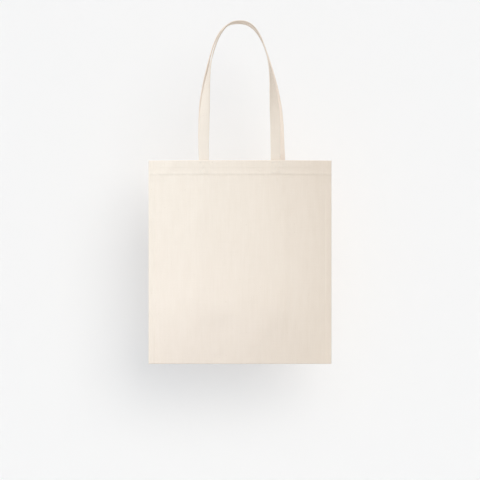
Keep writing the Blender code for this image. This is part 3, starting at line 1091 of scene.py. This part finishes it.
def stage_material(name, grey):
    """Matte paint, clear when seen from behind."""
    material, tree, shader = node_tree(name, 0.95, 0.0)
    shader.inputs["Base Color"].default_value = (grey, grey, grey, 1.0)
    n = Nodes(tree)
    behind = n.add("ShaderNodeNewGeometry").outputs["Backfacing"]
    clear = n.add("ShaderNodeBsdfTransparent").outputs[0]
    mix = n.add("ShaderNodeMixShader")
    for socket, value in zip(mix.inputs, (behind, shader.outputs[0], clear)):
        n.feed(socket, value)
    n.feed(tree.nodes["Material Output"].inputs[0], mix.outputs[0])
    return material


def stage_plane(name, corners, material):
    mesh = bpy.data.meshes.new(name)
    mesh.from_pydata(corners, [], [(0, 1, 2, 3)])
    mesh.materials.append(material)
    plane = add_object(name, mesh)
    return plane


def make_stage():
    h = STAGE_HALF
    wall = [(-h, WALL_Y, FLOOR_Z), (h, WALL_Y, FLOOR_Z), (h, WALL_Y, WALL_HEIGHT), (-h, WALL_Y, WALL_HEIGHT)]
    floor = [(-h, -h, FLOOR_Z), (h, -h, FLOOR_Z), (h, h, FLOOR_Z), (-h, h, FLOOR_Z)]
    return [
        stage_plane("backdrop_wall", wall, stage_material("backdrop_paint", 0.93)),
        stage_plane("floor", floor, stage_material("floor_paint", 0.67)),
    ]


def grouped(name, pieces):
    group = bpy.data.collections.new(name)
    for piece in pieces:
        group.objects.link(piece)
    return group


def soft_light(name, kind, place, aim, strength, colour, lit, **settings):
    """A light, unseen itself, that lights only the `lit` objects; place and aim are from the bag's middle."""
    data = bpy.data.lights.new(name, kind)
    data.energy = strength
    data.color = colour
    for setting, value in settings.items():
        setattr(data, setting, value)
    light = add_object(name, data)
    light.location = Vector((0, 0, MIDDLE_Z)) + Vector(place)
    light.rotation_mode = "QUATERNION"
    light.rotation_quaternion = (Vector(aim) - Vector(place)).to_track_quat("-Z", "Y")
    light.visible_camera = False
    light.light_linking.receiver_collection = grouped(name + "_lights", lit)
    return light


def soft_sun(name, place, strength, colour, lit, degrees=SUN_DISC, shadow=True):
    return soft_light(
        name, "SUN", place, (0, 0, 0), strength, colour, lit,
        angle=math.radians(degrees), use_shadow=shadow,
    )


def soft_spot(name, place, aim, strength, colour, lit, degrees, size):
    return soft_light(
        name, "SPOT", place, aim, strength, colour, lit,
        spot_size=math.radians(degrees), spot_blend=1.0, shadow_soft_size=size,
    )


def passes(light, pieces):
    """Lets the light through these pieces, which then throw no shadow."""
    group = grouped(light.name + "_passes", pieces)
    for entry in group.collection_objects:
        entry.light_linking.link_state = "EXCLUDE"
    light.light_linking.blocker_collection = group


def make_world():
    world = bpy.data.worlds.new("studio")
    bpy.context.scene.world = world
    world.use_nodes = True
    background = world.node_tree.nodes["Background"]
    background.inputs[0].default_value = (1, 1, 1, 1)
    background.inputs[1].default_value = 0.62


def make_lights(stage, bag):
    front_straps, back_straps = (
        [piece for piece in bag if piece.name.startswith(side + "_strap")] for side in SIDES
    )
    ahead = [piece for piece in bag if piece not in back_straps]
    warm = (1.0, 0.94, 0.86)
    # Two broad lights throw the bag's shadow on the wall, down and to the left; a shadowless one evens it.
    soft_sun("wall_key", (0.96, -2.0, 0.93), 0.74, warm, stage, 40)
    soft_sun("wall_top", (0.12, -2.0, 1.40), 0.19, warm, stage, 34)
    soft_sun("wall_fill", (0, -2.0, 0.5), 0.515, (0.88, 1.0, 1.147), stage, shadow=False)
    # Light from above brings out the hem.
    soft_sun("top_light", (-0.35, -1.1, 1.35), 1.17, (1, 1, 1), ahead, 30)
    # A cooler spot on the upper left fades across the cloth.
    soft_spot("bag_spot", (-0.60, -1.40, 0.80), (-0.25, 0, 0.09), 40.6, (0.60, 0.80, 1.0), ahead, 40, 0.18)
    # A weak one from below reaches the cloth that turns under towards the bottom seam.
    soft_spot("low_spot", (-0.35, -1.30, -0.50), (-0.09, 0, -0.17), 5.2, (0.85, 0.86, 1.15), ahead, 22, 0.15)
    # The back handle has a light of its own, which the front one doesn't shade.
    lift = soft_sun("back_strap_light", (-0.3, -1.4, 1.0), 1.65, (0.93, 1.02, 1.17), back_straps, 30)
    passes(lift, front_straps)
    soft_light(
        "back_light", "AREA", (0.9, 1.3, 0.7), (0, 0, 0), 0.7, (1.0, 0.97, 0.93), bag,
        shape="DISK", size=0.6,
    )


CAMERA_DISTANCE = 3.2
FIELD = 0.992  # width seen at the bag
SENSOR = 36.0
CAMERA_RISE = 0.0459  # above the bag's middle


def make_camera():
    data = bpy.data.cameras.new("camera")
    data.sensor_width = SENSOR
    data.lens = SENSOR * CAMERA_DISTANCE / FIELD
    camera = add_object("camera", data)
    camera.location = (0, -CAMERA_DISTANCE, MIDDLE_Z + CAMERA_RISE)
    camera.rotation_euler = (math.radians(90), 0, 0)
    bpy.context.scene.camera = camera


bag_pieces = [o for o in bpy.context.scene.objects if o.type == "MESH" and not o.hide_render]
make_world()
make_lights(make_stage(), bag_pieces)
make_camera()
bpy.context.scene.view_settings.view_transform = "Standard"
